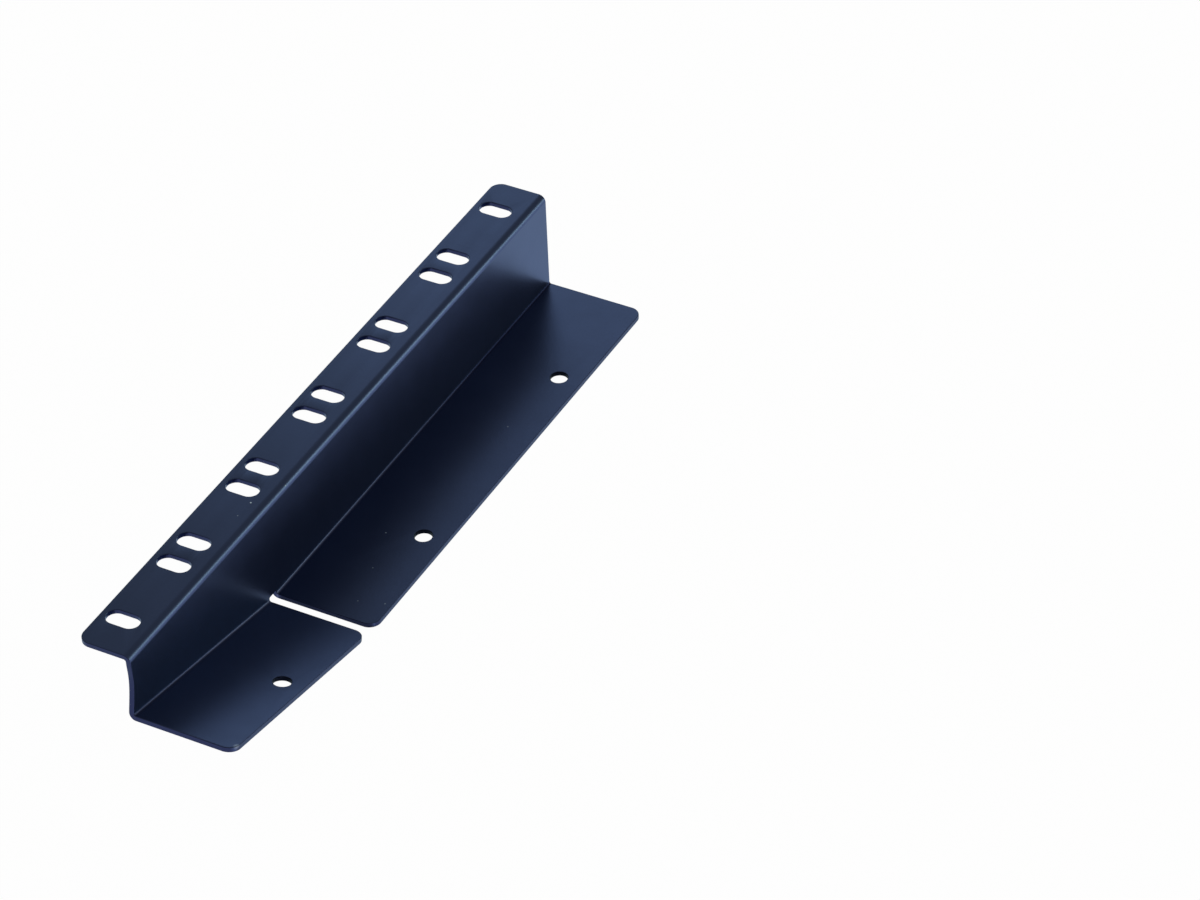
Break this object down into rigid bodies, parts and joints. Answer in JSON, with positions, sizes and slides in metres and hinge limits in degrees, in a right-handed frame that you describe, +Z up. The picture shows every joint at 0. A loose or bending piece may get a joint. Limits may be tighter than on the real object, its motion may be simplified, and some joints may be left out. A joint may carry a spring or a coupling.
{
  "type": "rack mount ear bracket",
  "caption": "Folded steel bracket with a slotted ear for a rack rail, a flat flange that carries a device and a shorter sloped flange at one end.",
  "frame": {"origin": "bottom centre of the bounding box, in the plane of the flat flange's underside", "axes": "+X along the length towards the split end with the sloped flange, +Y across from the slotted ear to the flanges' outer edges, +Z up from the flat flange to the ear"},
  "size_m": [0.287, 0.0602, 0.042],
  "materials": {
    "black_powder_coat": "satin black powder coat with a slight blue cast"
  },
  "bodies": {
    "root": {"rack_ear_bracket": "black_powder_coat"}
  },
  "joints": []
}
